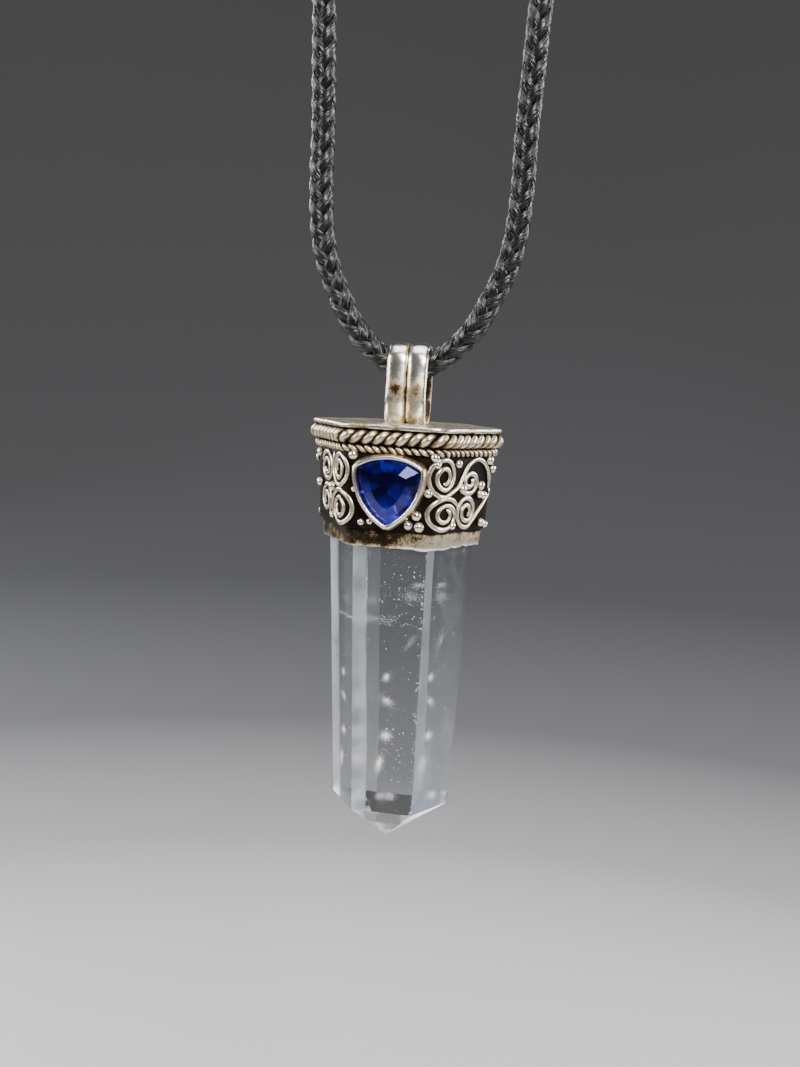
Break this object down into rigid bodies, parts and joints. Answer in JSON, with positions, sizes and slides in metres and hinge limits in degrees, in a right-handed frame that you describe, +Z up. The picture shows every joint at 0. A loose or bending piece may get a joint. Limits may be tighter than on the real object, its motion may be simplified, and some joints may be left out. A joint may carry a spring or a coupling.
{
  "type": "quartz point pendant necklace",
  "caption": "Clear quartz point pendant in a silver filigree cap with a blue stone, hanging from a two-ribbed bail on a closed loop of black braided cord.",
  "frame": {"origin": "underside of the clasp at its middle, where the loop rests on the back of the neck", "axes": "+Z up towards the clasp; the pendant hangs towards -Z; the stone's face looks along -Y; +X to the viewer's right along the loop's plane"},
  "size_m": [0.0982, 0.0167, 0.2281],
  "materials": {
    "silver": "oxidised silver, worn bright on its raised work",
    "quartz": "polished clear rock crystal with cloudy inclusions",
    "blue_stone": "polished facets, deep blue",
    "cord": "waxed round braid, slight sheen",
    "clasp_silver": "polished"
  },
  "bodies": {
    "loop": {"cord": "cord", "clasp": "clasp_silver"},
    "pendant": {"silver_cap": "silver", "quartz_point": "quartz", "blue_stone": "blue_stone"}
  },
  "joints": [
    {"name": "pendant_swing", "type": "hinge", "parent": "loop", "child": "pendant", "pos_m": [0, 0, -0.1794], "axis": [1, 0, 0], "range_deg": [-90, 90]}
  ]
}
